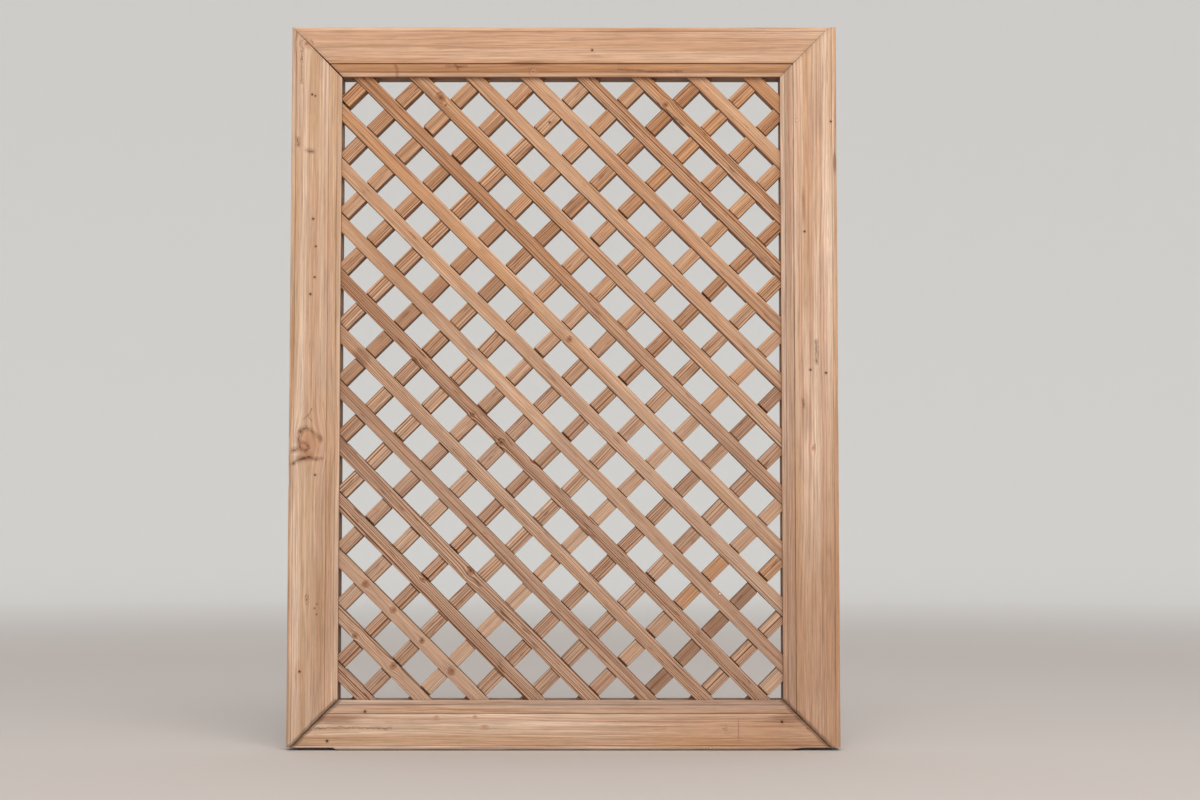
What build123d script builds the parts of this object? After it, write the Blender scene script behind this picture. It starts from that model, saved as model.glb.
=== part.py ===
# Lattice window panel: a mitred softwood frame with a moulded front, around a lattice of two
# layers of slanting slats that are halved into each other wherever they cross.
# Origin at the middle of the bottom edge, +Z up, +X to the right, the moulded front facing -Y.
import os
from math import cos, hypot, radians, sin

from build123d import *

# Frame, in millimetres
opening_width = 560.0
opening_height = 792.0
frame_thickness = 38.0
left_stile_width = 64.0
right_stile_width = 71.5
top_rail_width = 63.5
bottom_rail_width = 62.5

# Moulding along the front of every frame member
edge_strip_width = 6.0
edge_strip_drop = 1.2
band_width = 16.5
quirk_drop = 1.6
ovolo_rise = 0.8
fillet_width = 6.0
fillet_drop = 4.0

# Tenons on the rails, in stopped mortises in the stiles
tenon_thickness = 12.0
tenon_shoulder = 12.0
tenon_cover = 10.0
tenon_clearance = 0.2
tenon_end_gap = 1.0

# Worn underside, hollowed below both stiles
hollow_height = 4.0
left_hollow_run = 5.0
right_hollow_run = 28.0

# Lattice
slats_each_way = 19
slat_lean = 45.0
slat_width = 17.5
slat_thickness = 20.0
lap_clearance = 0.25
housing_depth = 4.5
housing_clearance = 0.3

# Places that follow from the sizes above
overall_width = left_stile_width + opening_width + right_stile_width
overall_height = bottom_rail_width + opening_height + top_rail_width
opening_left = left_stile_width - overall_width / 2
opening_right = opening_left + opening_width
opening_bottom = bottom_rail_width
opening_top = opening_bottom + opening_height
opening_middle = ((opening_left + opening_right) / 2, (opening_bottom + opening_top) / 2)
lean_cos, lean_sin = cos(radians(slat_lean)), sin(radians(slat_lean))
slat_pitch = (opening_width * lean_sin + opening_height * lean_cos) / slats_each_way
slat_blank = 2 * hypot(opening_width, opening_height)


def moulded_blank(edge, width, inner_length):
    """A moulded length on one edge of the opening, mitred at both ends.

    The edge's plane has X pointing out of the opening and Y pointing to the front.
    """
    front = frame_thickness / 2
    back = -front
    with BuildPart() as blank:
        with BuildSketch(edge):
            with BuildLine():
                quirk_foot = (band_width, front - quirk_drop)
                fillet_top = (fillet_width, front - fillet_drop)
                Polyline(
                    fillet_top,
                    (0, front - fillet_drop),
                    (0, back),
                    (width, back),
                    (width, front - edge_strip_drop),
                    (width - edge_strip_width, front),
                    (band_width, front),
                    quirk_foot,
                )
                SagittaArc(quirk_foot, fillet_top, -ovolo_rise)
            make_face()
        extrude(amount=inner_length / 2 + width, both=True)
        with BuildSketch(Plane(edge.origin, x_dir=edge.x_dir, z_dir=edge.y_dir)):
            with BuildLine():
                Polyline(
                    (0, -inner_length / 2),
                    (width, -inner_length / 2 - width),
                    (width, inner_length / 2 + width),
                    (0, inner_length / 2),
                    close=True,
                )
            make_face()
        extrude(amount=frame_thickness, both=True, mode=Mode.INTERSECT)
        with Locations((0, 0, overall_height / 2)):
            Box(overall_width, frame_thickness, overall_height, mode=Mode.INTERSECT)
    return blank.part


def slat_middles(lean_sign):
    """Middle points of the slats of one layer, from the lowest slat to the highest.

    The first and the last slat lie half a pitch from the opening's corners.
    """
    for number in range(slats_each_way):
        off_middle = (number - (slats_each_way - 1) / 2) * slat_pitch
        yield (
            opening_middle[0] - lean_sign * off_middle * lean_sin,
            opening_middle[1] + off_middle * lean_cos,
        )


# Rising slats lean to the right as they go up, falling slats lean to the left
falling = -1
rising = 1

# Room that the slats of each layer take up, in the half of the thickness where they run unbroken
lap_room = {}
for lean_sign, towards_front in ((falling, 1), (rising, -1)):
    with BuildPart() as room:
        with BuildSketch(Plane.XZ):
            for middle in slat_middles(lean_sign):
                with Locations(middle):
                    Rectangle(slat_blank, slat_width + 2 * lap_clearance, rotation=lean_sign * slat_lean)
        extrude(amount=towards_front * slat_thickness)
    lap_room[lean_sign] = room.part

# Slats: each one is cut to the opening plus its housings, then halved where the others cross it
slats = {}
for layer, lean_sign in (("falling", falling), ("rising", rising)):
    for number, middle in enumerate(slat_middles(lean_sign), start=1):
        with BuildPart() as slat:
            with BuildSketch(Plane.XZ):
                with Locations(middle):
                    Rectangle(slat_blank, slat_width, rotation=lean_sign * slat_lean)
                with Locations(opening_middle):
                    Rectangle(
                        opening_width + 2 * housing_depth,
                        opening_height + 2 * housing_depth,
                        mode=Mode.INTERSECT,
                    )
            extrude(amount=slat_thickness / 2, both=True)
            add(lap_room[-lean_sign], mode=Mode.SUBTRACT)
        slat.part.label = f"{layer}_slat_{number:02d}"
        slats[slat.part.label] = slat.part

# Housings: the sockets in the frame's inner edges that hold the slats' ends
with BuildPart() as housings:
    with BuildSketch(Plane.XZ):
        for lean_sign in (falling, rising):
            for middle in slat_middles(lean_sign):
                with Locations(middle):
                    Rectangle(
                        slat_blank,
                        slat_width + 2 * housing_clearance,
                        rotation=lean_sign * slat_lean,
                    )
        with Locations(opening_middle):
            Rectangle(
                opening_width + 2 * (housing_depth + housing_clearance),
                opening_height + 2 * (housing_depth + housing_clearance),
                mode=Mode.INTERSECT,
            )
            Rectangle(
                opening_width - 2 * housing_depth,
                opening_height - 2 * housing_depth,
                mode=Mode.SUBTRACT,
            )
    extrude(amount=slat_thickness / 2 + housing_clearance, both=True)

# Hollows worn into the underside below the two stiles
with BuildPart() as hollows:
    for outwards, edge_x, run, stile_width in (
        (-1, opening_left, left_hollow_run, left_stile_width),
        (1, opening_right, right_hollow_run, right_stile_width),
    ):
        beyond = edge_x + 2 * outwards * stile_width
        with BuildSketch(Plane.XZ):
            with BuildLine():
                Polyline(
                    (edge_x, 0),
                    (edge_x + outwards * run, hollow_height),
                    (beyond, hollow_height),
                    (beyond, -hollow_height),
                    (edge_x, -hollow_height),
                    close=True,
                )
            make_face()
        extrude(amount=frame_thickness, both=True)

# Corner joints: where each tenon starts, its directions out of the opening, and its two members' widths
stile_sides = {
    "left_stile": (opening_left, -1, left_stile_width),
    "right_stile": (opening_right, 1, right_stile_width),
}
rail_sides = {
    "bottom_rail": (opening_bottom, -1, bottom_rail_width),
    "top_rail": (opening_top, 1, top_rail_width),
}
opening_x, opening_z = opening_middle
frame = {}

# Stiles: the upright members, with a mortise at each end
for name, (edge_x, outwards, stile_width) in stile_sides.items():
    with BuildPart() as stile:
        upright_edge = Plane((edge_x, 0, opening_z), x_dir=(outwards, 0, 0), z_dir=(0, 0, -outwards))
        add(moulded_blank(upright_edge, stile_width, opening_height))
        mortise_depth = stile_width - tenon_cover + tenon_end_gap
        for edge_z, up, rail_width in rail_sides.values():
            with Locations((edge_x + outwards * mortise_depth / 2, 0, edge_z + up * rail_width / 2)):
                Box(
                    mortise_depth,
                    tenon_thickness + 2 * tenon_clearance,
                    rail_width - 2 * tenon_shoulder + 2 * tenon_clearance,
                    mode=Mode.SUBTRACT,
                )
        add(housings.part, mode=Mode.SUBTRACT)
        add(hollows.part, mode=Mode.SUBTRACT)
    stile.part.label = name
    frame[name] = stile.part

# Rails: the level members, with a tenon at each end
for name, (edge_z, up, rail_width) in rail_sides.items():
    with BuildPart() as rail:
        level_edge = Plane((opening_x, 0, edge_z), x_dir=(0, 0, up), z_dir=(up, 0, 0))
        add(moulded_blank(level_edge, rail_width, opening_width))
        for edge_x, outwards, stile_width in stile_sides.values():
            tenon_length = stile_width - tenon_cover
            with Locations((edge_x + outwards * tenon_length / 2, 0, edge_z + up * rail_width / 2)):
                Box(tenon_length, tenon_thickness, rail_width - 2 * tenon_shoulder)
        add(housings.part, mode=Mode.SUBTRACT)
        add(hollows.part, mode=Mode.SUBTRACT)
    rail.part.label = name
    frame[name] = rail.part

os.makedirs("parts", exist_ok=True)
for name, piece in {**frame, **slats}.items():
    export_step(piece, f"parts/{name}.step")
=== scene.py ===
# Lattice window panel: an old frame of bare softwood, mitred and moulded, around a lattice of slanting
# slats that are halved into each other. Every piece stands where its solid stands, in metres.
from math import copysign, cos, pi, radians, sin, tan

import bmesh
import bpy
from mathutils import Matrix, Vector, noise


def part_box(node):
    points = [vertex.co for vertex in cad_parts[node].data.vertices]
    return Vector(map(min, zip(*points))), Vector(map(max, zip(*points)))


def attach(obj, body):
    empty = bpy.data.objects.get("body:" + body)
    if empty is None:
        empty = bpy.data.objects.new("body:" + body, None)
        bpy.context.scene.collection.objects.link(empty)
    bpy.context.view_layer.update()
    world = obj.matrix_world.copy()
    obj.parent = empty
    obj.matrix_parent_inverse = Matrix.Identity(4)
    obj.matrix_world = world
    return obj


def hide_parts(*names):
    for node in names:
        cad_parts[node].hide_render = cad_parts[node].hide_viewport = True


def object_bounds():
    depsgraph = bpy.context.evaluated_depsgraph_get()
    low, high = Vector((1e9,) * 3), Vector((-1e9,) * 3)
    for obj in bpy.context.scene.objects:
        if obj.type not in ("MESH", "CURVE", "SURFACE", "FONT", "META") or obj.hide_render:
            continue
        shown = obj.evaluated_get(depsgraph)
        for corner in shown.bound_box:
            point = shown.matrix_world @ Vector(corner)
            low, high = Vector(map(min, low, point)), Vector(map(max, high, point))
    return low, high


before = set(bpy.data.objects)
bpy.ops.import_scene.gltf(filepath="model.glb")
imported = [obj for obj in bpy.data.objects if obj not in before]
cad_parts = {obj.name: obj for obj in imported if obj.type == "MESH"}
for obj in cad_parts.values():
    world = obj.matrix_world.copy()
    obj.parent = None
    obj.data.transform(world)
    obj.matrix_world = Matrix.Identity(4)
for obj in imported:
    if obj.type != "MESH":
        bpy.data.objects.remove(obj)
cad_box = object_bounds()
mm = 0.001

# Studio: a pale floor and a paler wall that curves up from it all round, under an even sky, with one large
# soft lamp in front and above. The camera stands low in front of the panel and looks slightly up.
floor_radius = 5.2
cove_radius = 2.6
wall_top = 4.2
cove_steps = 12
cove_sides = 96
fade_start = 0.3 * floor_radius
fade_end = 1.2 * floor_radius
floor_colour = (0.58, 0.53, 0.5, 1.0)
wall_colour = (0.92, 0.915, 0.905, 1.0)
paint_roughness = 0.9
sky_colour = (1.0, 0.99, 0.975, 1.0)
sky_strength = 0.68
lamp_place = Vector((0.4, -2.2, 2.9))
lamp_aim = Vector((0.0, 0.0, 0.5))
lamp_size = 2.4
lamp_watts = 62.0
lamp_colour = (1.0, 0.985, 0.96)
camera_place = Vector((46 * mm, cad_box[0].y - 2.6, 285 * mm))
camera_pitch = radians(3.412)
camera_lens = 61.76
camera_sensor = 36.0

cove_line = [(floor_radius * share, 0.0) for share in (0.05, 0.2, 0.6, 1.0)]
for step in range(1, cove_steps + 1):
    bend = pi / 2 * step / cove_steps
    cove_line.append((floor_radius + cove_radius * sin(bend), cove_radius * (1 - cos(bend))))
cove_line.append((floor_radius + cove_radius, wall_top))
cove_points = [(0.0, 0.0, 0.0)]
for radius, height in cove_line:
    for side in range(cove_sides):
        turn = 2 * pi * side / cove_sides
        cove_points.append((radius * cos(turn), radius * sin(turn), height))
cove_faces = []
for side in range(cove_sides):
    beside = (side + 1) % cove_sides
    cove_faces.append((0, 1 + side, 1 + beside))
    for ring in range(len(cove_line) - 1):
        inner = 1 + ring * cove_sides
        outer = inner + cove_sides
        cove_faces.append((inner + side, outer + side, outer + beside, inner + beside))
cove_mesh = bpy.data.meshes.new("studio_floor")
cove_mesh.from_pydata(cove_points, [], cove_faces)
cove_mesh.shade_smooth()
studio_paint = bpy.data.materials.new("studio_paint")
studio_paint.use_nodes = True
paint_nodes, paint_links = studio_paint.node_tree.nodes, studio_paint.node_tree.links
paint_finish = paint_nodes["Principled BSDF"]
paint_finish.inputs["Roughness"].default_value = paint_roughness
paint_place = paint_nodes.new("ShaderNodeTexCoord")
paint_reach = paint_nodes.new("ShaderNodeVectorMath")
paint_reach.operation = "LENGTH"
paint_share = paint_nodes.new("ShaderNodeMapRange")
paint_share.interpolation_type = "SMOOTHSTEP"
paint_share.inputs["From Min"].default_value = fade_start
paint_share.inputs["From Max"].default_value = fade_end
paint_mix = paint_nodes.new("ShaderNodeMix")
paint_mix.data_type = "RGBA"
paint_mix.inputs["A"].default_value = floor_colour
paint_mix.inputs["B"].default_value = wall_colour
paint_links.new(paint_place.outputs["Object"], paint_reach.inputs[0])
paint_links.new(paint_reach.outputs["Value"], paint_share.inputs["Value"])
paint_links.new(paint_share.outputs["Result"], paint_mix.inputs["Factor"])
paint_links.new(paint_mix.outputs["Result"], paint_finish.inputs["Base Color"])
cove_mesh.materials.append(studio_paint)
studio_floor = bpy.data.objects.new("studio_floor", cove_mesh)
bpy.context.scene.collection.objects.link(studio_floor)

sky = bpy.data.worlds.new("studio_sky")
sky.use_nodes = True
sky.node_tree.nodes["Background"].inputs["Color"].default_value = sky_colour
sky.node_tree.nodes["Background"].inputs["Strength"].default_value = sky_strength
bpy.context.scene.world = sky

lamp_data = bpy.data.lights.new("soft_lamp", "AREA")
lamp_data.shape = "DISK"
lamp_data.size = lamp_size
lamp_data.energy = lamp_watts
lamp_data.color = lamp_colour
lamp = bpy.data.objects.new("soft_lamp", lamp_data)
lamp.location = lamp_place
lamp.rotation_mode = "QUATERNION"
lamp.rotation_quaternion = (lamp_aim - lamp_place).to_track_quat("-Z", "Y")
bpy.context.scene.collection.objects.link(lamp)

camera_data = bpy.data.cameras.new("camera")
camera_data.lens = camera_lens
camera_data.sensor_width = camera_sensor
camera = bpy.data.objects.new("camera", camera_data)
camera.location = camera_place
camera.rotation_euler = (pi / 2 + camera_pitch, 0.0, 0.0)
bpy.context.scene.collection.objects.link(camera)
bpy.context.scene.camera = camera
bpy.context.scene.view_settings.view_transform = "Standard"


# Rising slats: square-edged strips of fir that lean to the right as they go up. They are the back layer:
# each is halved from the front where a falling slat crosses it, so only short lengths show from the front.
# Their ends sit in housings in the frame's inner edges.
slat_width = 17.5 * mm
slat_housing = 4.4 * mm
slat_lean = radians(45)
slats_each_way = 19
crossings_to_stile = 8
crossings_to_rail = 11
section_points = 28
notch_steps = 3
notch_loops = notch_steps + 2
block_loops = 11
loops_per_crossing = notch_loops + block_loops
crease_angle = radians(38)
tight_gap = 0.15 * mm
tight_gap_spread = 0.4 * mm
loose_gap = 0.3 * mm
loose_gap_spread = 1.0 * mm
worst_gap_more = 1.2 * mm
slat_sway = 1.6 * mm
opening_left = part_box("left_stile")[1].x
opening_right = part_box("right_stile")[0].x
opening_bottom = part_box("bottom_rail")[1].z
opening_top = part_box("top_rail")[0].z
opening_middle = Vector(((opening_left + opening_right) / 2, 0, (opening_bottom + opening_top) / 2))
opening_width, opening_height = opening_right - opening_left, opening_top - opening_bottom
slat_pitch = (opening_width * sin(slat_lean) + opening_height * cos(slat_lean)) / slats_each_way
crossing_pitch = slat_pitch / sin(2 * slat_lean)
past_stile = opening_width / 2 + slat_housing - crossings_to_stile * crossing_pitch * cos(slat_lean)
past_rail = opening_height / 2 + slat_housing - crossings_to_rail * crossing_pitch * sin(slat_lean)
end_slant = 0.93
slat_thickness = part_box("rising_slat_10")[1].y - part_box("rising_slat_10")[0].y


class Wire:
    """An output of a node in a tree. Sums of wires and numbers add Math nodes to that tree."""

    def __init__(self, tree, socket=None):
        self.tree = tree
        self.socket = socket

    def node(self, kind, settings=None, inputs=None, output=0):
        """Adds a node, sets it, feeds its inputs with values or wires, and gives one of its outputs."""
        made = self.tree.nodes.new(kind)
        for name, value in (settings or {}).items():
            setattr(made, name, value)
        for name, value in (inputs or {}).items():
            if isinstance(value, Wire):
                self.tree.links.new(value.socket, made.inputs[name])
            else:
                made.inputs[name].default_value = value
        return Wire(self.tree, made.outputs[output] if made.outputs else None)

    def out(self, name):
        """Another output of the same node."""
        return Wire(self.tree, self.socket.node.outputs[name])

    def math(self, operation, *values):
        return self.node("ShaderNodeMath", {"operation": operation}, dict(enumerate(values)))

    def ease(self, start, end):
        """0 before start, 1 after end, and a smooth step between them."""
        settings = {"interpolation_type": "SMOOTHSTEP"}
        return self.node("ShaderNodeMapRange", settings, {0: self, 1: start, 2: end})

    def clamp(self):
        return self.math("MINIMUM", self.math("MAXIMUM", self, 0.0), 1.0)

    def __add__(self, other):
        return self.math("ADD", self, other)

    def __radd__(self, other):
        return self.math("ADD", other, self)

    def __sub__(self, other):
        return self.math("SUBTRACT", self, other)

    def __rsub__(self, other):
        return self.math("SUBTRACT", other, self)

    def __mul__(self, other):
        return self.math("MULTIPLY", self, other)

    def __rmul__(self, other):
        return self.math("MULTIPLY", other, self)

    def __truediv__(self, other):
        return self.math("DIVIDE", self, other)

    def __rtruediv__(self, other):
        return self.math("DIVIDE", other, self)

    def __mod__(self, other):
        return self.math("FLOORED_MODULO", self, other)

    def __pow__(self, other):
        return self.math("POWER", self, other)

    def __lt__(self, other):
        return self.math("LESS_THAN", self, other)

    def __gt__(self, other):
        return self.math("GREATER_THAN", self, other)

    def __abs__(self):
        return self.math("ABSOLUTE", self)


def slat_tree():
    """Geometry Nodes for one halved slat: a grid whose rows become the loops of a worn square bar.

    The bar runs from its first crossing to its last. At each crossing the cut side drops to half depth.
    """
    tree = bpy.data.node_groups.new("halved_slat", "GeometryNodeTree")
    for name, kind in (
        ("Geometry", "NodeSocketGeometry"),
        ("Width", "NodeSocketFloat"),
        ("Thickness", "NodeSocketFloat"),
        ("Pitch", "NodeSocketFloat"),
        ("Crossings", "NodeSocketInt"),
        ("First Crossing", "NodeSocketFloat"),
        ("Start Reach", "NodeSocketFloat"),
        ("Start Slant", "NodeSocketFloat"),
        ("End Reach", "NodeSocketFloat"),
        ("End Slant", "NodeSocketFloat"),
        ("Cut Side", "NodeSocketFloat"),
        ("Lean", "NodeSocketFloat"),
        ("Middle", "NodeSocketVector"),
        ("Seed", "NodeSocketInt"),
        ("Material", "NodeSocketMaterial"),
    ):
        tree.interface.new_socket(name, in_out="INPUT", socket_type=kind)
    tree.interface.new_socket("Geometry", in_out="OUTPUT", socket_type="NodeSocketGeometry")

    sheet = Wire(tree)
    given = sheet.node("NodeGroupInput")
    width, thickness, pitch = given.out("Width"), given.out("Thickness"), given.out("Pitch")
    crossings, cut_side, seed = given.out("Crossings"), given.out("Cut Side"), given.out("Seed")
    last_crossing = crossings - 1
    last_loop = crossings * loops_per_crossing - block_loops

    # Which loop and which point of the section each grid point is
    rows = last_loop + 1
    columns = section_points + 1
    grid = {"Vertices X": rows, "Vertices Y": columns, "Size X": 1.0, "Size Y": 1.0}
    grid = sheet.node("GeometryNodeMeshGrid", {}, grid)
    index = sheet.node("GeometryNodeInputIndex")
    row = sheet.math("FLOOR", index / columns)
    turn = (index % columns % section_points) * (2 * pi / section_points)
    loop = sheet.math("MINIMUM", sheet.math("MAXIMUM", row, 1.0), last_loop - 1)
    capped = (row < 0.5) + (row > last_loop - 0.5)
    step = loop % loops_per_crossing
    crossing = sheet.math("FLOOR", loop / loops_per_crossing)
    block = sheet.math("FLOOR", (loop + block_loops) / loops_per_crossing)
    whole = crossing * 0  # the same number all along the slat

    def chance(number, salt):
        """A random share for each number, different for each seed."""
        return sheet.node(
            "FunctionNodeRandomValue", {"data_type": "FLOAT"}, {"ID": number, "Seed": seed * 16 + salt}, 1
        )

    def gap_before(number):
        """Half the notch on the side towards the slat's start, with a tight joint."""
        half = width / 2 + tight_gap + tight_gap_spread * chance(number, 1)
        return half + (given.out("Start Reach") - half) * (number < 0.5)

    def gap_after(number):
        """Half the notch on the side towards the slat's end, which is often cut too wide."""
        luck = chance(number, 2)
        half = width / 2 + loose_gap + loose_gap_spread * luck * luck + worst_gap_more * (luck > 0.9)
        return half + (given.out("End Reach") - half) * (number > last_crossing - 0.5)

    # Along the slat: across the notch in three steps, then along the block to the next notch
    through_notch = ((step - 1) / notch_steps).clamp()
    through_block = ((step - notch_loops) / block_loops).clamp()
    eased_block = through_block - sheet.math("SINE", through_block * (2 * pi)) * (0.85 / (2 * pi))
    before, after = gap_before(crossing), gap_after(crossing)
    block_length = pitch - after - gap_before(crossing + 1)
    along = given.out("First Crossing") + crossing * pitch - before
    along = along + (before + after) * through_notch + block_length * eased_block

    # Round the section: a square bar with worn arrises and slightly wavy faces
    across_turn, front_turn = sheet.math("COSINE", turn), sheet.math("SINE", turn)
    where = {0: along * 45, 1: across_turn * 1.5, 2: front_turn * 1.5 + seed}
    where = sheet.node("ShaderNodeCombineXYZ", {}, where)
    wear = sheet.node("ShaderNodeTexNoise", {}, {"Vector": where, "Scale": 1.0, "Detail": 3.0})
    where_long = sheet.node("ShaderNodeCombineXYZ", {}, {0: along * 9, 1: seed, 2: 0.0})
    wander = sheet.node("ShaderNodeTexNoise", {}, {"Vector": where_long, "Scale": 1.0, "Detail": 1.0})
    arris = 0.055 + 0.11 * wear * wear
    half_width = width / 2 * (0.975 + 0.025 * chance(whole, 3)) * (1 - 0.01 * wear)
    half_depth = thickness / 2 * (1 - 0.02 * wear)
    across = half_width * sheet.math("SIGN", across_turn) * abs(across_turn) ** arris
    front = half_depth * sheet.math("SIGN", front_turn) * abs(front_turn) ** arris
    across_share = across / half_width

    # On the cut side the notches drop to half depth, and the blocks between them are worn at their ends
    in_notch = (step > 0.5) * (step < notch_loops - 0.5)
    cut_front = front * cut_side
    block_end = (step < 0.5) + (step > notch_loops - 0.5) * (step < notch_loops + 0.5)
    block_sink = 0.01 + 0.05 * chance(block, 4) * chance(block, 4) + 0.03 * block_end
    block_front = cut_front * (1 - block_sink * (cut_front > 0))
    notch_front = sheet.math("MINIMUM", cut_front, -0.1 * mm)
    front = (block_front + (notch_front - block_front) * in_notch) * cut_side

    # The ends are sawn parallel to the frame's edge, and closed to a point in their middle
    before_notch_end = ((notch_loops - 1 - step) / notch_steps).clamp()
    start_cut = given.out("Start Slant") * (crossing < 0.5) * before_notch_end
    end_cut = given.out("End Slant") * (crossing > last_crossing - 0.5) * through_notch
    across = across * (1 - capped) + (wander - 0.5) * slat_sway
    front = front * (1 - capped) - capped * cut_side * thickness / 4
    along = along + across * (start_cut + end_cut)

    lean = given.out("Lean")
    lean_cos, lean_sin = sheet.math("COSINE", lean), sheet.math("SINE", lean)
    turned_x = along * lean_cos - across * lean_sin
    turned_z = along * lean_sin + across * lean_cos
    leaning = sheet.node("ShaderNodeCombineXYZ", {}, {0: turned_x, 1: front * -1, 2: turned_z})
    place = sheet.node("ShaderNodeVectorMath", {"operation": "ADD"}, {0: leaning, 1: given.out("Middle")})
    board = {0: chance(whole, 5), 1: chance(block, 6), 2: across_share}
    board = sheet.node("ShaderNodeCombineXYZ", {}, board)

    shaped = sheet.node("GeometryNodeSetPosition", {}, {"Geometry": grid, "Position": place})
    shaped = sheet.node(
        "GeometryNodeStoreNamedAttribute",
        {"data_type": "FLOAT_VECTOR", "domain": "POINT"},
        {"Geometry": shaped, "Name": "board", "Value": board},
    )
    closed = sheet.node("GeometryNodeMergeByDistance", {}, {"Geometry": shaped, "Distance": 0.02 * mm})
    closed = sheet.node("GeometryNodeFlipFaces", {}, {"Mesh": closed})
    angle = sheet.node("GeometryNodeInputMeshEdgeAngle")
    smooth = sheet.node(
        "GeometryNodeSetShadeSmooth", {"domain": "FACE"}, {"Geometry": closed, "Shade Smooth": True}
    )
    creased = sheet.node(
        "GeometryNodeSetShadeSmooth",
        {"domain": "EDGE"},
        {"Geometry": smooth, "Selection": angle > crease_angle, "Shade Smooth": False},
    )
    real = sheet.node("GeometryNodeRealizeInstances", {}, {"Geometry": creased})
    finished = sheet.node(
        "GeometryNodeSetMaterial", {}, {"Geometry": real, "Material": given.out("Material")}
    )
    sheet.node("NodeGroupOutput", {}, {"Geometry": finished})
    return tree


def paint(red, green, blue):
    """A colour as it looks on a screen, 0 to 255, as the linear colour that a shader takes."""
    shares = [value / 255 for value in (red, green, blue)]
    linear = [share / 12.92 if share <= 0.04045 else ((share + 0.055) / 1.055) ** 2.4 for share in shares]
    return (*linear, 1.0)


def blend(sheet, share, first, second, how="MIX"):
    """Mixes two colours."""
    settings = {"data_type": "RGBA", "blend_type": how, "clamp_factor": True}
    return sheet.node("ShaderNodeMix", settings, {0: share, 6: first, 7: second}, 2)


def turned(x, z, lean):
    """Along and across a piece whose grain leans by this angle, for a place in the panel."""
    return x * cos(lean) + z * sin(lean), z * cos(lean) - x * sin(lean)


def speckle(sheet, along, across, depth, scales, seed, detail=2.0, roughness=0.5):
    """Noise stretched along the grain: scales are waves for each metre along it and across it."""
    where = {0: along * scales[0] + seed, 1: across * scales[1], 2: depth * scales[1]}
    where = sheet.node("ShaderNodeCombineXYZ", {}, where)
    settings = {"Vector": where, "Scale": 1.0, "Detail": detail, "Roughness": roughness}
    return sheet.node("ShaderNodeTexNoise", {}, settings)


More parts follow.
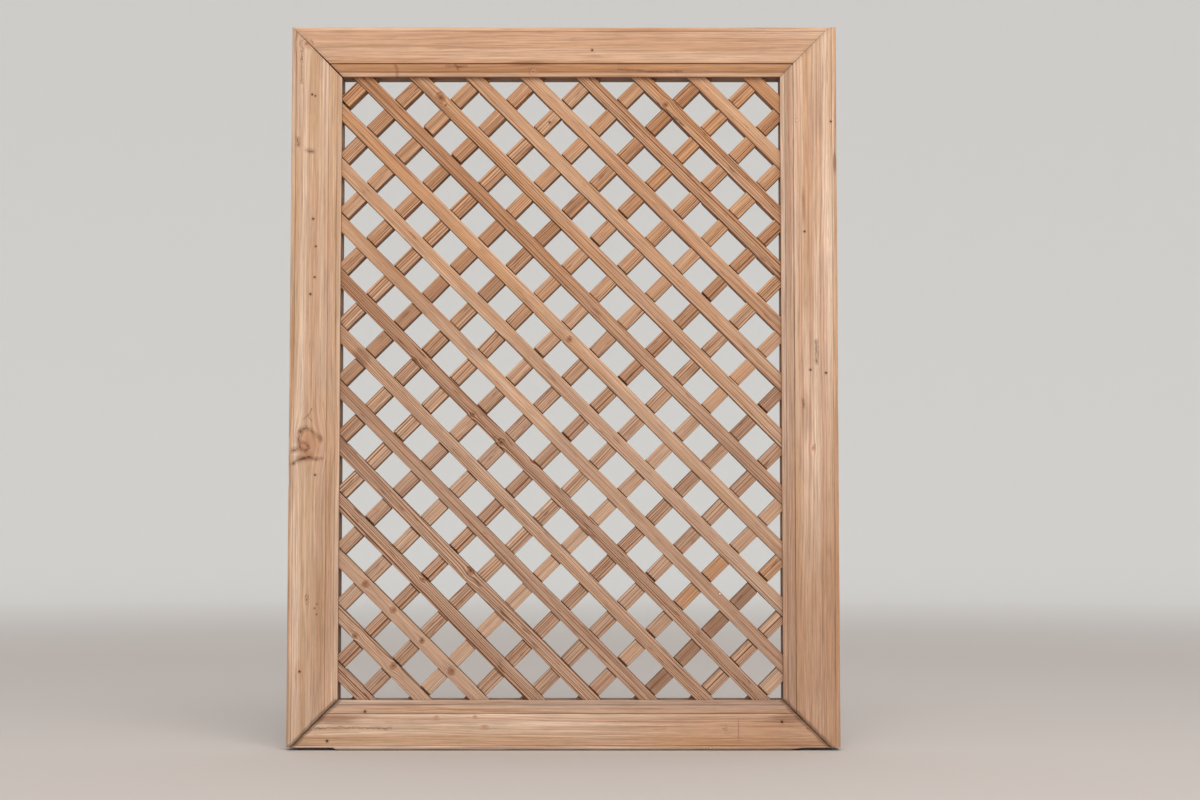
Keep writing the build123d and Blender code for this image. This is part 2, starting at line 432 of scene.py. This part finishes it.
def old_fir(name, lean, place, colours, ring_width, knots=(), spots=(), cracks=(), stains=()):
    """Bare old softwood: growth rings, fibres, patches of sun and grime, painted shade, and the marks of
    one board.

    lean is the grain's angle from the level. place gives a seed, the rings' tilt, how strong their lines
    are, how deep the colour is (partly painted shade, deeper low down) and how much grime and painted shade
    it carries. Marks are placed in millimetres, to the right and up: knots with two half sizes and how dark
    they are; spots with a radius and a colour; cracks with a breadth and the points they run through;
    stains with two half sizes, a share and a colour.
    """
    material = bpy.data.materials.new(name)
    material.use_nodes = True
    material.node_tree.nodes.clear()
    sheet = Wire(material.node_tree)
    at = sheet.node("ShaderNodeTexCoord", {}, {}, "Object")
    x = sheet.node("ShaderNodeSeparateXYZ", {}, {"Vector": at})
    z, depth = x.out("Z"), x.out("Y")
    along, across = turned(x, z, lean)
    seed, tilt, figure, tone, dirt_and_shade = place(sheet, x, z, depth, along, across)
    crumble = speckle(sheet, along, across, depth, (170, 260), 3.0)
    crook = speckle(sheet, x, z, depth, (150, 150), 7.0)
    grit = (speckle(sheet, x, z, depth, (420, 420), 9.0) - 0.5) * 2.5 * mm
    bent_x, bent_z = x + (crumble - 0.5) * 4 * mm + grit, z + (crook - 0.5) * 4 * mm - grit

    def far_from(mark_x, mark_z, half_x, half_z):
        """How far a mark's middle is, counted in its half sizes."""
        off_x, off_z = (x - mark_x * mm) / (half_x * mm), (z - mark_z * mm) / (half_z * mm)
        return sheet.math("SQRT", off_x * off_x + off_z * off_z)

    def off_path(points):
        """How far in metres a crooked line through these points is."""
        nearest = 1.0
        for (start_x, start_z), (end_x, end_z) in zip(points, points[1:]):
            run_x, run_z = (end_x - start_x) * mm, (end_z - start_z) * mm
            off_x, off_z = bent_x - start_x * mm, bent_z - start_z * mm
            share = ((off_x * run_x + off_z * run_z) / (run_x**2 + run_z**2)).clamp()
            off_x, off_z = off_x - share * run_x, off_z - share * run_z
            nearest = sheet.math("MINIMUM", off_x * off_x + off_z * off_z, nearest)
        return sheet.math("SQRT", nearest)

    # Knots push the rings aside; the dark ones have a broken rim and an eye
    hearts, pits = [], []
    straight = across
    for knot_x, knot_z, half_x, half_z, darkness in knots:
        far = far_from(knot_x, knot_z, half_x, half_z)
        ragged = far + (crumble - 0.5) * 0.7
        push = 1 / (1 + far * far * 0.3) ** 2
        across = across - (straight - turned(knot_x * mm, knot_z * mm, lean)[1]) * push * 0.9
        hearts.append(ragged.ease(1.2, 0.5))
        rim = ragged.ease(0.75, 0.95) * ragged.ease(1.2, 1.0) * crook.ease(0.45, 0.6)
        pits.append(sheet.math("MAXIMUM", rim, ragged.ease(0.4, 0.12)) * darkness)

    drift = speckle(sheet, along, across, depth, (1.5, 8.0), seed, 1.0)
    wander = speckle(sheet, along, across, depth, (8.0, 40.0), seed + 5.0)
    ring = across * sheet.math("COSINE", tilt) + depth * sheet.math("SINE", tilt)
    ring = ring / ring_width + drift * 9.0 + wander * 1.3 + seed * 3.7
    uneven = {"W": ring * 0.31, "Scale": 1.0, "Detail": 1.0}
    ring = ring + 1.8 * sheet.node("ShaderNodeTexNoise", {"noise_dimensions": "1D"}, uneven)
    phase = sheet.math("FRACT", ring)
    year = {"W": sheet.math("FLOOR", ring)}
    year = sheet.node("ShaderNodeTexWhiteNoise", {"noise_dimensions": "1D"}, year)
    patch = speckle(sheet, along, across, depth, (6.0, 20.0), seed + 23.0, 3.0)
    late = phase.ease(0.45, 0.88) * phase.ease(1.0, 0.94) * (0.3 + 0.7 * year)
    late = late * figure * (0.25 + 1.5 * patch)
    broad = speckle(sheet, along, across, depth, (1.1, 70.0), seed + 51.0, 3.0)
    pink = speckle(sheet, along, across, depth, (2.4, 120.0), seed + 61.0)
    thin = speckle(sheet, along, across, depth, (4.0, 340.0), seed + 17.0, 2.0, 0.6)
    fibre = speckle(sheet, along, across, depth, (18.0, 520.0), seed + 11.0, 4.0, 0.7)
    grey = speckle(sheet, along, across, depth, (9.0, 45.0), seed + 31.0, 3.0, 0.6)
    fleck = speckle(sheet, along, across, depth, (38.0, 380.0), seed + 41.0).ease(0.58, 0.75)

    body = blend(sheet, broad.ease(0.38, 0.62), colours["pale"], colours["warm"])
    body = blend(sheet, pink.ease(0.48, 0.66) * 0.6, body, colours["red"])
    body = blend(sheet, grey.ease(0.48, 0.72) * 0.5, body, colours["grey"])
    body = blend(sheet, tone, body, colours["deep"])
    for stain_x, stain_z, half_x, half_z, share, colour in stains:
        far = far_from(stain_x, stain_z, half_x, half_z) + (patch - 0.5) * 0.9 + (fibre - 0.5) * 0.5
        body = blend(sheet, far.ease(1.2, 0.4) * share, body, colours[colour])
    body = blend(sheet, late, body, colours["late"])
    body = blend(sheet, thin.ease(0.55, 0.66) * (0.1 + 0.9 * patch) * 0.75, body, colours["late"])
    body = blend(sheet, fleck * figure * 0.55, body, colours["stain"])
    for heart in hearts:
        body = blend(sheet, heart * 0.75, body, colours["knot"])
    light = 0.36 + 1.08 * fibre + 0.2 * patch
    light = sheet.node("ShaderNodeCombineXYZ", {}, {0: light, 1: light, 2: light})
    body = blend(sheet, 1.0, body, light, "MULTIPLY")
    height = late * 0.5 + fibre * 0.8 - fleck * 0.4

    near_front = depth.ease(5 * mm, -5 * mm)
    for spot_x, spot_z, radius, colour in spots:
        far = far_from(spot_x, spot_z, radius, radius) + (crumble - 0.5) * 0.8
        hole = far.ease(1.2, 0.7) * near_front
        body = blend(sheet, far.ease(2.8, 1.0) * near_front * 0.35, body, colours["stain"])
        body = blend(sheet, hole * 0.9, body, colours[colour])
        height = height - hole * 1.5
    for breadth, points in cracks:
        off_line = off_path(points) / (breadth * mm)
        body = blend(sheet, off_line.ease(7.0, 0.8) * near_front * 0.4, body, colours["stain"])
        split = (off_line / (0.1 + 1.8 * crumble)).ease(1.5, 0.3) * crook.ease(0.4, 0.58)
        pits.append(split * near_front * 0.7)
    for pit in pits:
        body = blend(sheet, pit * 0.85, body, colours["dark"])
        height = height - pit * 1.5
    # Grime and painted shade: the sides, joints, quirks, inner edges and foot are darkened.
    body = blend(sheet, dirt_and_shade, body, colours["grime_and_shade"])

    bump = sheet.node("ShaderNodeBump", {}, {"Strength": 0.5, "Distance": 0.4 * mm, "Height": height})
    finish = {
        "Base Color": body,
        "Roughness": 0.62 + 0.2 * fibre,
        "Normal": bump,
        "Specular IOR Level": 0.25,
    }
    finish = sheet.node("ShaderNodeBsdfPrincipled", {}, finish)
    sheet.node("ShaderNodeOutputMaterial", {}, {"Surface": finish})
    return material


slat_colours = {
    "pale": paint(230, 192, 160),
    "warm": paint(214, 166, 126),
    "grey": paint(208, 180, 160),
    "deep": paint(164, 116, 84),
    "late": paint(118, 70, 42),
    "red": paint(206, 152, 118),
    "stain": paint(112, 64, 34),
    "amber": paint(206, 142, 84),
    "knot": paint(156, 100, 66),
    "dark": paint(48, 28, 18),
    "grime_and_shade": paint(88, 58, 38),
    "chalk": paint(236, 226, 214),
}


def slat_grain(lean, cut_side, block_share, lines):
    """A slat's own grain and colour. Grime and painted shade lie on its sides, and in the joints on its cut
    side.

    block_share is how much the lengths between crossings differ from each other in colour, and lines is how
    strong the rings' lines are.
    """
    middle_along = turned(opening_middle.x, opening_middle.z, lean)[0]

    def place(sheet, x, z, depth, along, across):
        board = sheet.node("ShaderNodeAttribute", {"attribute_name": "board"}, {}, "Vector")
        chance = sheet.node("ShaderNodeSeparateXYZ", {}, {"Vector": board})
        block, side = chance.out("Y"), abs(chance.out("Z")).ease(0.965, 0.995)
        seed = chance * 40
        tilt = sheet.math("FRACT", chance * 31) * 1.6 - 0.8
        figure = lines * (0.4 + 0.6 * sheet.math("FRACT", chance * 5.7).ease(0.15, 0.6))
        lengthwise = speckle(sheet, along, across, depth, (5.0, 12.0), seed + 3.0)
        # Painted shade: the slats' colour deepens towards the bottom and the right.
        low = z.ease(0.45, 0.05) * x.ease(0.0, 0.3) * 0.25
        tone = sheet.math("FRACT", chance * 7.3) * (1 - block_share) + block * block_share
        tone = 0.15 + 0.6 * (tone + (lengthwise - 0.5) * 1.3 + low).ease(0.2, 1.15)
        mottle = speckle(sheet, along, across, depth, (60, 60), 2.0, 3.0)
        # Painted shade with grime: dark lines on the cut side next to each crossing, for the shadow in the
        # joint.
        crossing = (along - middle_along) / crossing_pitch + 0.5
        beside = abs(crossing % 1 - 0.5) * crossing_pitch - slat_width / 2
        joint = beside.ease(1.8 * mm, 0.6 * mm) * (depth * cut_side < 0)
        # Painted shade with grime: the slat's sides are darkened as if they stood in shadow.
        side_dirt_and_shade = side * (0.25 + 0.5 * mottle)
        joint_dirt_and_shade = joint * (0.25 + 0.5 * block + 0.4 * mottle)
        dirt_and_shade = sheet.math("MAXIMUM", side_dirt_and_shade, joint_dirt_and_shade)
        return seed, tilt, figure, tone, dirt_and_shade

    return place


def slats(layer, lean, cut_side, first_seed, material):
    """The slats of one layer, from the lowest to the highest, each one in the place of its solid."""
    inputs = [item for item in halved_slat.interface.items_tree if item.in_out == "INPUT"]
    sockets = {item.name: item.identifier for item in inputs}
    rises = copysign(1.0, lean)
    for number in range(1, slats_each_way + 1):
        half_steps = number - (slats_each_way + 1) / 2
        to_left = half_steps * rises - crossings_to_stile
        to_start_rail = -half_steps * rises - crossings_to_rail
        to_right = half_steps * rises + crossings_to_stile
        to_end_rail = crossings_to_rail - half_steps * rises
        first, last = max(to_left, to_start_rail), min(to_right, to_end_rail)
        at_stile = (past_stile / cos(lean), end_slant * tan(lean))
        at_rail = (past_rail / abs(sin(lean)), -end_slant / tan(lean))
        start_reach, start_slant = at_stile if first == to_left else at_rail
        end_reach, finish_slant = at_stile if last == to_right else at_rail
        off_middle = Vector((-sin(lean), 0, cos(lean))) * half_steps * slat_pitch

        node = f"{layer}_slat_{number:02d}"
        blank = bpy.data.objects.new(node + "_blank", bpy.data.meshes.new(node + "_blank"))
        bpy.context.scene.collection.objects.link(blank)
        maker = blank.modifiers.new("halved_slat", "NODES")
        maker.node_group = halved_slat
        for name, value in (
            ("Width", slat_width),
            ("Thickness", slat_thickness),
            ("Pitch", crossing_pitch),
            ("Crossings", int(last - first) + 1),
            ("First Crossing", first * crossing_pitch),
            ("Start Reach", start_reach),
            ("Start Slant", start_slant),
            ("End Reach", end_reach),
            ("End Slant", finish_slant),
            ("Cut Side", cut_side),
            ("Lean", lean),
            ("Middle", opening_middle + off_middle),
            ("Seed", first_seed + number),
            ("Material", material),
        ):
            maker[sockets[name]] = value
        made = bpy.data.meshes.new_from_object(blank.evaluated_get(bpy.context.evaluated_depsgraph_get()))
        blank.modifiers.remove(maker)
        bpy.data.objects.remove(blank)
        slat = bpy.data.objects.new(node + "_wood", made)
        bpy.context.scene.collection.objects.link(slat)
        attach(slat, "root")
        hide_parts(node)


halved_slat = slat_tree()
lattice_stains = [(0, 60, 700, 620, 0.4, "grey"), (0, 880, 700, 420, 0.22, "amber")]
slat_rings = 2.4 * mm
rising_wood = old_fir(
    "rising_slat_wood",
    slat_lean,
    slat_grain(slat_lean, cut_side=1.0, block_share=0.5, lines=1.1),
    slat_colours,
    ring_width=slat_rings,
    spots=[(-18.4, 796.6, 1.2, "dark")],
    stains=lattice_stains + [
        (180.7, 469.5, 24, 24, 0.6, "stain"),
        (225.1, 194.3, 22, 22, 0.45, "stain"),
        (193.4, 158.8, 22, 22, 0.45, "stain"),
        (157.9, 120.8, 22, 22, 0.4, "stain"),
        (123.6, 85.3, 22, 22, 0.4, "stain"),
        (193, 228, 22, 22, 0.4, "amber"),
        (156, 193, 22, 22, 0.4, "amber"),
        (261, 225, 20, 20, 0.35, "amber"),
    ],
)
slats("rising", slat_lean, cut_side=1.0, first_seed=100, material=rising_wood)


# Falling slats: the front layer, of the same strips. They run unbroken on the front and are halved from
# behind, over the rising slats, with no glue or nails to be seen.
falling_wood = old_fir(
    "falling_slat_wood",
    -slat_lean,
    slat_grain(-slat_lean, cut_side=-1.0, block_share=0.0, lines=1.6),
    slat_colours,
    ring_width=slat_rings,
    knots=[
        (-157.9, 828.3, 7, 7, 0.6),
        (130, 819.4, 4, 4, 0.5),
        (7, 517.6, 4, 4, 0.7),
        (-117.3, 224.8, 5, 6, 0.6),
        (-189.4, 491.5, 4, 4, 0.8),
        (-115, 422, 4, 4, 0.8),
        (-79.5, 386.4, 5, 5, 0.9),
        (-39, 363.8, 4, 4, 0.8),
        (-250.4, 207.8, 5, 5, 0.4),
        (-214.4, 175.2, 5, 5, 0.4),
        (-177.8, 213.5, 4, 4, 0.6),
        (-262.7, 142.5, 4, 4, 0.7),
        (-214.4, 104.8, 5, 5, 0.5),
        (-178.5, 136.7, 4, 4, 0.7),
        (-141, 98.4, 5, 5, 0.4),
    ],
    spots=[(197.2, 195.6, 1.3, "chalk"), (-151.5, 819.0, 1.0, "dark")],
    cracks=[(0.6, [(128, 815), (152, 793)])],
    stains=lattice_stains + [(-257.4, 494.8, 14, 14, 0.4, "stain")],
)
slats("falling", -slat_lean, cut_side=-1.0, first_seed=200, material=falling_wood)


# Rails: the level frame members, of wider fir, with a moulding worked along the inner edge of the front
# and a thin bead along the outer one. Their ends are mitred on the front and tenoned behind it.
frame_half = (cad_box[1].y - cad_box[0].y) / 2
fillet_width = 6 * mm
fillet_drop = 4 * mm
band_width = 16.5 * mm
quirk_drop = 1.6 * mm
ovolo_rise = 0.8 * mm
bead_width = 6 * mm
bead_drop = 1.2 * mm
loop_spacing = 3.5 * mm
joint_run = 3 * mm
wear_depth = 0.12 * mm
chip_breadth = 2.5 * mm
chip_reach = 5 * mm
chip_depth = 3 * mm
hollow_height = 4 * mm
left_hollow_run = 5 * mm
right_hollow_run = 28 * mm
left_width = opening_left - cad_box[0].x
right_width = cad_box[1].x - opening_right
top_width = cad_box[1].z - opening_top
bottom_width = opening_bottom - cad_box[0].z


def moulding(width):
    """The section of a member: how far out from the opening, and how far to the front, point by point."""
    front, back = frame_half, -frame_half
    strip = front - fillet_drop
    points = [(0.6 * mm, back), (0.18 * mm, back + 0.18 * mm), (0, back + 0.6 * mm)]
    points += [(0, back + (strip - back) * share) for share in (0.2, 0.4, 0.6, 0.8, 0.92)]
    points += [(0, strip - 0.7 * mm), (0.2 * mm, strip - 0.2 * mm), (0.7 * mm, strip)]
    points += [(fillet_width * share, strip) for share in (0.3, 0.55, 0.8, 0.95)]
    for step in range(11):
        share = step / 10
        rise = (fillet_drop - quirk_drop) * share + ovolo_rise * 4 * share * (1 - share)
        points.append((fillet_width + (band_width - fillet_width - 0.6 * mm) * share, strip + rise))
    quirk = front - quirk_drop
    points += [(band_width - 0.35 * mm, quirk - 0.25 * mm), (band_width, quirk - 0.25 * mm)]
    points += [(band_width + 0.1 * mm, front - 0.5 * mm), (band_width + 0.35 * mm, front - 0.12 * mm)]
    flat_start, flat_end = band_width + 0.9 * mm, width - bead_width - 0.4 * mm
    points += [(flat_start + (flat_end - flat_start) * step / 10, front) for step in range(11)]
    points += [(width - bead_width, front - 0.45 * mm), (width - bead_width + 0.4 * mm, front - 0.5 * mm)]
    bead = ((0.82, 0.22), (0.6, 0.4), (0.38, 0.65), (0.2, 0.95), (0.08, 1.4), (0.0, 2.2))
    points += [(width - bead_width * share, front - bead_drop * drop) for share, drop in bead]
    points += [(width, front - (front - back) * share) for share in (0.25, 0.45, 0.65, 0.85)]
    points += [(width, back + 0.7 * mm), (width - 0.2 * mm, back + 0.2 * mm), (width - 0.7 * mm, back)]
    points += [(width * share, back) for share in (0.85, 0.7, 0.55, 0.4, 0.25, 0.12)]
    return points


def underside(x):
    """How far the worn underside is off the ground below the two stiles."""
    left = (opening_left - x) / left_hollow_run
    right = (x - opening_right) / right_hollow_run
    return hollow_height * min(1.0, max(0.0, left, right))


def frame_member(node, outwards, width, ends, material):
    """One mitred member. ends gives, for its low and high end, its neighbour's width and its joint's gaps.

    A joint's gaps are its width at the inner corner, at the outer corner, and how ragged it is.
    """
    lengthwise = Vector((abs(outwards.z), 0, abs(outwards.x)))
    opening = Vector((opening_width, 0, opening_height))
    span = opening.dot(lengthwise)
    inner_edge = opening_middle + outwards * (opening.x * abs(outwards.x) + opening.z * abs(outwards.z)) / 2
    section = moulding(width)
    rows = round((span + 2 * width) / loop_spacing)
    salt = Vector((3.1, 7.7, 1.3)) * len(node)
    points = []
    for row in range(rows + 1):
        share = 2 * row / rows - 1
        neighbour, inner_gap, outer_gap, ragged = ends[0] if share < 0 else ends[1]
        for out, front in section:
            far = span / 2 + min(out, neighbour)
            along = share * far
            rough = noise.noise(Vector((along * 22, out * 60, front * 60)) + salt)
            fine = noise.noise(Vector((along * 90, out * 90, front * 90)) + salt)
            gap = inner_gap + (outer_gap - inner_gap) * out / width + ragged * (0.5 + fine)
            gap = gap * max(0.0, front / frame_half)
            near_end = max(0.0, 1 - (far - abs(along)) / joint_run)
            along -= copysign(max(0.1 * mm, gap) * near_end, share)
            worn = wear_depth * (1 + rough)
            edge = max(0.0, 1 - (width - out) / chip_breadth)
            edge = edge * max(0.0, 1 - (frame_half - front) / chip_reach)
            chip = edge * max(0.0, rough + 0.4 * fine - 0.25) * chip_depth
            depth = front - copysign(worn, front) * (abs(front) > 0.7 * frame_half) - chip
            outer = out - worn * (out > 0.98 * width) - chip * 0.6
            point = inner_edge + lengthwise * along + outwards * outer + Vector((0, -depth, 0))
            point.z = max(point.z, underside(point.x))
            points.append(point)
    ring = len(section)
    faces = []
    for row in range(rows):
        for step in range(ring):
            beside = (step + 1) % ring
            here, there = row * ring, (row + 1) * ring
            faces.append((here + step, here + beside, there + beside, there + step))
    faces.append(tuple(range(ring)))
    faces.append(tuple(range(rows * ring, (rows + 1) * ring)))
    mesh = bpy.data.meshes.new(node + "_wood")
    mesh.from_pydata(points, [], faces)
    shell = bmesh.new()
    shell.from_mesh(mesh)
    bmesh.ops.remove_doubles(shell, verts=shell.verts, dist=0.01 * mm)
    bmesh.ops.recalc_face_normals(shell, faces=shell.faces)
    if shell.calc_volume(signed=True) < 0:
        bmesh.ops.reverse_faces(shell, faces=shell.faces)
    for edge in shell.edges:
        edge.smooth = edge.calc_face_angle(0) < crease_angle
    for face in shell.faces:
        face.smooth = True
    shell.to_mesh(mesh)
    shell.free()
    mesh.materials.append(material)
    member = bpy.data.objects.new(node + "_wood", mesh)
    bpy.context.scene.collection.objects.link(member)
    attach(member, "root")
    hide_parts(node)


frame_colours = {
    "pale": paint(242, 214, 190),
    "warm": paint(211, 173, 139),
    "grey": paint(206, 178, 158),
    "deep": paint(188, 146, 116),
    "late": paint(160, 110, 78),
    "red": paint(212, 168, 144),
    "stain": paint(130, 84, 58),
    "amber": paint(194, 130, 76),
    "knot": paint(204, 152, 120),
    "dark": paint(68, 40, 26),
    "grime_and_shade": paint(92, 64, 46),
    "chalk": paint(236, 226, 214),
    "ash": paint(176, 150, 138),
}


def member_grain(level, inner_edge, outwards, width, seed, tilt, figure, tone, quirk_dirt_and_shade):
    """A member's own grain and colour. Grime gathers in the quirk, by the bead, in joints and below.
    Painted shade darkens the quirk, the fillet, the inner edge, the moulding band, the foot and the lower
    right.
    """

    def place(sheet, x, z, depth, along, across):
        out = ((z if level else x) - inner_edge) * outwards
        mottle = speckle(sheet, along, across, depth, (30, 120), seed, 3.0)
        # Painted shade with grime in the quirk, set for each member: strong on the rails, weak on the
        # stiles.
        dirt_and_shade = abs(out - band_width + 0.2 * mm).ease(0.9 * mm, 0.2 * mm) * quirk_dirt_and_shade
        # A dark line by the bead; grime with painted shade along the fillet, on the inner edge and along
        # the foot.
        for more in (
            abs(out - width + bead_width).ease(0.8 * mm, 0.2 * mm) * 0.6,
            abs(out - fillet_width).ease(1.0 * mm, 0.3 * mm) * (0.3 + 0.5 * quirk_dirt_and_shade),
            out.ease(0.5 * mm, 0.05 * mm) * 0.9,
            z.ease(4 * mm, 0.5 * mm) * 1.2,
        ):
            dirt_and_shade = sheet.math("MAXIMUM", dirt_and_shade, more)
        past = sheet.math("MAXIMUM", opening_bottom - z, z - opening_top)
        joint = sheet.math("MINIMUM", abs(opening_left - x - past), abs(x - opening_right - past))
        joint = joint + (mottle - 0.5) * 9 * mm
        at_joint = past.ease(-3 * mm, 0.0) * (0.15 + 0.85 * (z < opening_middle.z))
        open_joint = joint.ease(4.0 * mm, 0.8 * mm) * at_joint * 0.8
        dirt_and_shade = sheet.math("MAXIMUM", dirt_and_shade, joint.ease(8 * mm, 3 * mm) * at_joint * 0.9)
        dirt_and_shade = sheet.math("MAXIMUM", dirt_and_shade * (0.35 + 0.6 * mottle), open_joint)
        # Painted shade with a deeper tone: the moulding band is darker than the flat.
        band_tone_and_shade = out.ease(band_width + 0.5 * mm, band_width - 0.5 * mm) * 0.15
        patch = speckle(sheet, along, across, depth, (4, 12), seed + 2)
        # Painted shade: the frame's colour deepens towards the bottom, and more so to the right.
        low = z.ease(0.5, 0.05) * (0.25 + 0.5 * x.ease(0.0, 0.3))
        return seed, tilt, figure, (band_tone_and_shade + low + tone + (patch - 0.5) * 1.1).clamp(), dirt_and_shade

    return place


# Joints at the corners: the gap at the inner corner, the gap at the outer one, and how ragged they are
open_mitre = (1.6 * mm, 0.1 * mm, 0.1 * mm)
close_mitre = (0.4 * mm, 0.1 * mm, 0.1 * mm)
ragged_mitre = (0.4 * mm, 0.3 * mm, 0.5 * mm)
corner_knot = (-329, 896, 8, 7, 0.45)

top_wood = old_fir(
    "top_rail_wood",
    0.0,
    member_grain(
        True, opening_top, 1, top_width, seed=3.0, tilt=0.5, figure=0.26, tone=0.42, quirk_dirt_and_shade=0.9
    ),
    frame_colours,
    ring_width=4.2 * mm,
    knots=[corner_knot, (-39.5, 861, 5, 4, 0.5)],
    spots=[(36, 888, 1.3, "dark")],
    cracks=[
        (0.5, [(-150, 867.5), (-125, 867.5)]),
        (0.5, [(-216, 869), (-213, 862), (-214, 855)]),
        (0.4, [(-139, 870), (-135, 863)]),
        (0.4, [(70, 864), (110, 861), (150, 861)]),
    ],
    stains=[
        (0, 890, 900, 70, 0.3, "amber"),
        (0, 866, 700, 7, 0.4, "amber"),
        (-48, 871, 30, 4, 0.5, "stain"),
    ],
)
frame_member(
    "top_rail",
    Vector((0, 0, 1)),
    top_width,
    ((left_width, *open_mitre), (right_width, *close_mitre)),
    top_wood,
)

bottom_wood = old_fir(
    "bottom_rail_wood",
    0.0,
    member_grain(
        True, opening_bottom, -1, bottom_width, seed=8.0, tilt=0.6, figure=0.4, tone=-0.15, quirk_dirt_and_shade=0.9
    ),
    frame_colours,
    ring_width=3.6 * mm,
    knots=[
        (-98.6, 28.9, 5, 2.6, 0.3),
        (-111, 42, 4, 2.4, 0.3),
        (-159, 41.3, 4, 2.4, 0.3),
        (202, 27, 4, 3, 0.4),
        (305.7, 27, 4, 3, 0.5),
    ],
    spots=[
        (-249, 48.5, 1.5, "dark"),
        (274, 35.8, 1.5, "dark"),
        (-296, 11.8, 1.6, "dark"),
        (184.5, 3.4, 1.2, "chalk"),
    ],
    cracks=[(0.4, [(-311, 28), (-260, 28.5), (-216, 27.5)])],
    stains=[
        (0, 57, 900, 6, 0.5, "ash"),
        # The deep strip darkens the band just below the quirk, partly as painted shade.
        (0, 49, 900, 4, 0.35, "deep"),
        (190, 24, 150, 24, 0.3, "amber"),
        (-290, 40, 34, 7, 0.5, "stain"),
        (285, 40, 30, 7, 0.5, "stain"),
        (219.5, 25, 1.0, 17, 0.4, "stain"),
    ],
)
frame_member(
    "bottom_rail",
    Vector((0, 0, -1)),
    bottom_width,
    ((left_width, *ragged_mitre), (right_width, *ragged_mitre)),
    bottom_wood,
)


# Stiles: the upright frame members, moulded as the rails are and mortised for their tenons. They carry
# the rails and take the slats' ends in housings along the inner edge.
left_wood = old_fir(
    "left_stile_wood",
    pi / 2,
    member_grain(
        False, opening_left, -1, left_width, seed=15.0, tilt=0.4, figure=0.3, tone=0.05, quirk_dirt_and_shade=0.25
    ),
    frame_colours,
    ring_width=4.4 * mm,
    knots=[(-322, 384, 14, 19, 0.1), corner_knot, (-323.1, 188.2, 2.4, 6, 0.8)],
    spots=[
        (-321.4, 830.8, 1.2, "dark"),
        (-317.5, 829, 1.0, "dark"),
        (-318.9, 671, 1.3, "dark"),
        (-315.1, 635.6, 1.2, "dark"),
        (-316.3, 596.3, 1.2, "dark"),
        (-321.4, 574.7, 1.3, "dark"),
        (-313.8, 345.2, 1.2, "dark"),
        (-340.8, 359.5, 1.3, "stain"),
        (-310, 183, 0.9, "stain"),
        (-313, 177.5, 0.9, "stain"),
        (-310.4, 170, 0.9, "stain"),
        (-331.3, 98.3, 1.4, "dark"),
    ],
    stains=[
        # Pale patches where the outer edge is dented: paler worn wood and a painted highlight.
        (-340, 384, 5, 3, 0.4, "chalk"),
        (-339, 371.5, 6, 2, 0.45, "chalk"),
        (-321, 384, 15, 20, 0.2, "amber"),
        (-326, 381, 8, 7, 0.35, "stain"),
        (-308, 391, 4, 8, 0.45, "stain"),
        (-330, 401, 7, 3.5, 0.3, "stain"),
        (-323, 366.5, 13, 2.6, 0.45, "stain"),
        (-311, 150, 13, 130, 0.5, "deep"),
        (-333, 98, 8, 14, 0.3, "knot"),
        (-345.5, 300, 2.5, 300, 0.4, "amber"),
    ],
    cracks=[
        (0.7, [(-333.7, 398.9), (-331.8, 402.8), (-325.3, 405.4), (-317.5, 399.6), (-306.5, 390.5)]),
        (0.8, [(-333.0, 399.6), (-335.0, 391.8), (-334.6, 384.1), (-331.8, 378.9)]),
        (0.6, [(-343.4, 358.8), (-336.3, 364.0), (-320.1, 367.9), (-315.6, 364.7), (-305.2, 366.0)]),
        (1.3, [(-332.0, 366.0), (-321.0, 368.0)]),
        (0.6, [(-333.7, 385.4), (-329.2, 386.7), (-324.0, 383.4), (-322.0, 378.9), (-326.6, 375.7)]),
        (0.8, [(-342.7, 376.3), (-334.3, 378.2), (-326.6, 375.7)]),
        (0.22, [(-328.5, 415.8), (-322.0, 421.6), (-318.4, 429.4)]),
        (0.22, [(-323.3, 420.9), (-318.8, 413.8)]),
        (0.4, [(-334.7, 888), (-335.2, 865), (-334.8, 845)]),
        (0.7, [(-339.9, 774), (-338.5, 765.5)]),
        (0.8, [(-327, 758.6), (-320.3, 757.5)]),
    ],
)
frame_member(
    "left_stile",
    Vector((-1, 0, 0)),
    left_width,
    ((bottom_width, *ragged_mitre), (top_width, *open_mitre)),
    left_wood,
)

right_wood = old_fir(
    "right_stile_wood",
    pi / 2,
    member_grain(
        False, opening_right, 1, right_width, seed=21.0, tilt=0.55, figure=0.36, tone=0.1, quirk_dirt_and_shade=0.6
    ),
    frame_colours,
    ring_width=3.6 * mm,
    knots=[(315.7, 379.4, 3, 4.5, 0.5)],
    spots=[
        (312.5, 478.3, 1.3, "dark"),
        (332.2, 474.5, 1.3, "dark"),
        (306.2, 654.6, 1.2, "dark"),
        (340.4, 795.9, 1.2, "dark"),
        (297.3, 797.8, 1.2, "chalk"),
    ],
    cracks=[(0.6, [(320, 515), (320.5, 487)]), (0.5, [(303, 440), (303.5, 431)])],
    stains=[
        (285, 458, 8, 900, 0.35, "ash"),
        (312, 800, 40, 300, 0.14, "amber"),
        (345.5, 458, 2.5, 900, 0.35, "amber"),
        (345, 743, 2.5, 16, 0.6, "stain"),
        (305, 688, 2.5, 24, 0.4, "stain"),
        (306, 420, 5, 40, 0.35, "stain"),
    ],
)
frame_member(
    "right_stile",
    Vector((1, 0, 0)),
    right_width,
    ((bottom_width, *ragged_mitre), (top_width, *close_mitre)),
    right_wood,
)
